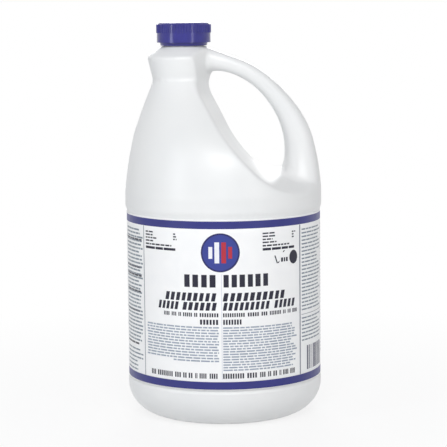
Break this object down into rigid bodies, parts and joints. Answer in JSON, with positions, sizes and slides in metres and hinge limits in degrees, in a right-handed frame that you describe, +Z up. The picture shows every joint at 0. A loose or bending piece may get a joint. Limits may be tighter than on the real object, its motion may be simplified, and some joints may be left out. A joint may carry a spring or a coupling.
{
  "type": "bleach bottle",
  "caption": "White blow-moulded jug with an offset pouring neck, hollow arched grip, wrap-around label and blue ribbed screw cap.",
  "frame": {"origin": "centre of the standing ring, on the axis of the round body", "axes": "+Z up along the body, neck towards -X, grip towards +X, front of the label towards -Y"},
  "size_m": [0.1558, 0.1558, 0.3101],
  "materials": {
    "white_hdpe": "satin white polyethylene with a faint mould texture",
    "blue_cap": "glossy violet-blue moulded polypropylene",
    "foam": "pressed white foam disc",
    "label_film": "smooth white label film printed in violet blue"
  },
  "bodies": {
    "bottle": {"base": "white_hdpe", "wall": "white_hdpe", "shoulder": "white_hdpe", "collar": "white_hdpe", "neck": "white_hdpe", "grip": "white_hdpe", "label": "label_film"},
    "liner": {"cap_liner": "foam"},
    "cap": {"screw_cap": "blue_cap"}
  },
  "joints": [
    {"name": "cap_rise", "type": "slide", "parent": "bottle", "child": "liner", "axis": [0, 0, 1], "range_m": [0, 0.0064]},
    {"name": "cap_turn", "type": "hinge", "parent": "liner", "child": "cap", "pos_m": [-0.03, 0, 0.3], "axis": [0, 0, 1], "range_deg": [0, 540]}
  ],
  "couplings": [
    {"joint": "cap_rise", "follows": "cap_turn", "m_per_rad": 0.0006737}
  ]
}
